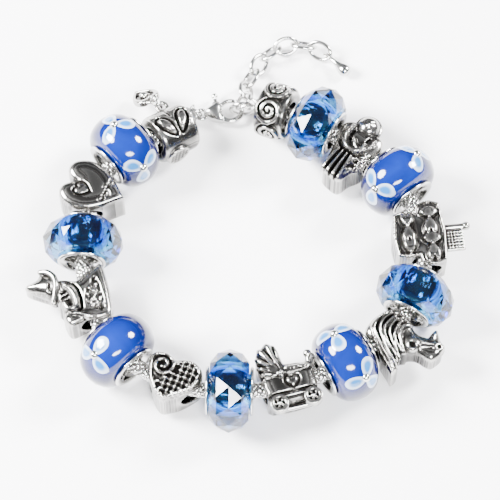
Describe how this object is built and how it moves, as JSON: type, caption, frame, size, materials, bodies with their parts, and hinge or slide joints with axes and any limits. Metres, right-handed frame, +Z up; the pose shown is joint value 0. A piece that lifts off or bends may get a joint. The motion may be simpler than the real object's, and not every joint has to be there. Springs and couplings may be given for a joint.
{
  "type": "charm bracelet",
  "caption": "Silver charm bracelet, closed in a loop, with blue glass and cut crystal beads, cast charms, a spring clasp and a short extension chain.",
  "frame": {"origin": "on the table under the middle of the whole bracelet, its box's bottom centre", "axes": "+Z up from the table; +Y towards the clasp and the extension chain; +X to the right as seen from above with the clasp at the far side"},
  "size_m": [0.0764, 0.0768, 0.0136],
  "materials": {
    "bright_silver": "polished",
    "antique_silver": "cast silver, darkened in the recesses and polished on the edges",
    "blue_glass": "cobalt blue lampwork with flowers near the surface",
    "blue_crystal": "clear, facet cut, light blue with a deeper blue rim"
  },
  "bodies": {
    "bracelet": {"woven_chain": "bright_silver", "leaf_bead": "antique_silver", "plain_heart": "antique_silver", "hooded_figure": "antique_silver", "woven_heart": "antique_silver", "pram": "antique_silver", "horse_head": "antique_silver", "motif_block": "antique_silver", "angel": "antique_silver", "scroll_bead": "antique_silver", "dangle_ring": "antique_silver", "dangle_heart": "antique_silver", "lampwork_1_core": "bright_silver", "lampwork_1_glass": "blue_glass", "lampwork_2_core": "bright_silver", "lampwork_2_glass": "blue_glass", "lampwork_3_core": "bright_silver", "lampwork_3_glass": "blue_glass", "lampwork_4_core": "bright_silver", "lampwork_4_glass": "blue_glass", "crystal_1_core": "bright_silver", "crystal_1_glass": "blue_crystal", "crystal_2_core": "bright_silver", "crystal_2_glass": "blue_crystal", "crystal_3_core": "bright_silver", "crystal_3_glass": "blue_crystal", "crystal_4_core": "bright_silver", "crystal_4_glass": "blue_crystal", "clasp_end_cap": "bright_silver", "extension_end_cap": "bright_silver", "clasp_body": "bright_silver", "tail_ring": "bright_silver", "hook_ring": "bright_silver", "extension_drop": "bright_silver", "extension_link_1": "bright_silver", "extension_link_2": "bright_silver", "extension_link_3": "bright_silver", "extension_link_4": "bright_silver", "extension_link_5": "bright_silver", "extension_link_6": "bright_silver", "extension_link_7": "bright_silver", "extension_link_8": "bright_silver"},
    "lever": {"clasp_lever": "bright_silver"}
  },
  "joints": [
    {"name": "lever_hinge", "type": "hinge", "parent": "bracelet", "child": "lever", "pos_m": [-0.00573, 0.02459, 0.0017], "axis": [0, 0, -1], "range_deg": [0, 18], "stiffness_Nm_per_rad": 0.002}
  ]
}
